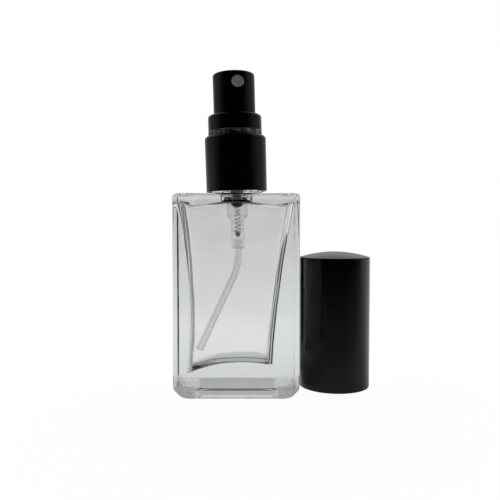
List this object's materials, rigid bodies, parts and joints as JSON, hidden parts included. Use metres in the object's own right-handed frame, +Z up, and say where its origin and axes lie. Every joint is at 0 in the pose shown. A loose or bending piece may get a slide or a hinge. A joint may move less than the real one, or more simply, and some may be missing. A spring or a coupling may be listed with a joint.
{
  "type": "spray bottle",
  "caption": "Rectangular thick-walled glass spray bottle with a black screw-on fine mist pump, bent dip tube and a tall domed overcap standing beside it.",
  "frame": {"origin": "centre of the bottle's base, on the surface it stands on", "axes": "+Z up; -Y is the front, the way the nozzle roughly faces; +X right, where the overcap stands"},
  "size_m": [0.0588, 0.0284, 0.0939],
  "materials": {
    "flint_glass": "clear fire-polished flint glass",
    "white_foam": "foamed polyethylene",
    "black_gloss": "polished black polypropylene",
    "black_satin": "fine satin black",
    "natural_pp": "translucent natural polypropylene",
    "dark_rubber": "smooth moulded",
    "white_pe": "smooth moulded polyethylene",
    "spring_steel": "drawn stainless wire",
    "ball_steel": "polished stainless steel",
    "tube_pe": "translucent extruded polyethylene",
    "nozzle_grey": "smooth moulded grey",
    "black_cap": "soft satin black",
    "liner_black": "matt moulded black"
  },
  "bodies": {
    "bottle": {"glass_bottle": "flint_glass"},
    "pump": {"pump_housing": "natural_pp", "neck_gasket": "white_foam", "turret": "natural_pp", "stem_seal": "dark_rubber", "dip_tube": "tube_pe", "return_spring": "spring_steel"},
    "collar": {"closure_ring": "black_gloss", "collar_sleeve": "black_satin", "collar_top_ring": "black_satin"},
    "stem": {"stem": "natural_pp", "valve_pin": "dark_rubber", "precompression_spring": "spring_steel"},
    "piston": {"piston": "white_pe"},
    "head": {"actuator": "black_satin", "nozzle_insert": "nozzle_grey"},
    "ball": {"inlet_ball": "ball_steel"},
    "overcap": {"overcap_shell": "black_cap", "overcap_liner": "liner_black"}
  },
  "joints": [
    {"name": "pump_lift", "type": "slide", "parent": "bottle", "child": "pump", "axis": [-0.0279, 0, 0.9996], "range_m": [0, 0.00423]},
    {"name": "collar_turn", "type": "hinge", "parent": "pump", "child": "collar", "pos_m": [0, 0, 0.0587], "axis": [-0.0279, 0, 0.9996], "range_deg": [0, 720]},
    {"name": "actuator_press", "type": "slide", "parent": "pump", "child": "stem", "axis": [0.0279, 0, -0.9996], "range_m": [0, 0.0035], "stiffness_N_per_m": 1200, "springref_m": -0.003, "deforming": ["return_spring"]},
    {"name": "piston_slip", "type": "slide", "parent": "stem", "child": "piston", "axis": [-0.0279, 0, 0.9996], "range_m": [0, 0.0006], "deforming": ["precompression_spring"]},
    {"name": "head_turn", "type": "hinge", "parent": "stem", "child": "head", "pos_m": [-0.00078, 0, 0.08669], "axis": [-0.0279, 0, 0.9996], "continuous": true},
    {"name": "ball_lift", "type": "slide", "parent": "pump", "child": "ball", "axis": [-0.0279, 0, 0.9996], "range_m": [0, 0.0005]},
    {"name": "overcap_lift", "type": "slide", "parent": "bottle", "child": "overcap", "axis": [0, 0, 1], "range_m": [0, 0.1]}
  ],
  "couplings": [
    {"joint": "collar_turn", "follows": "pump_lift", "rad_per_m": 2968},
    {"joint": "piston_slip", "follows": "actuator_press", "ratio": 0.17143}
  ]
}
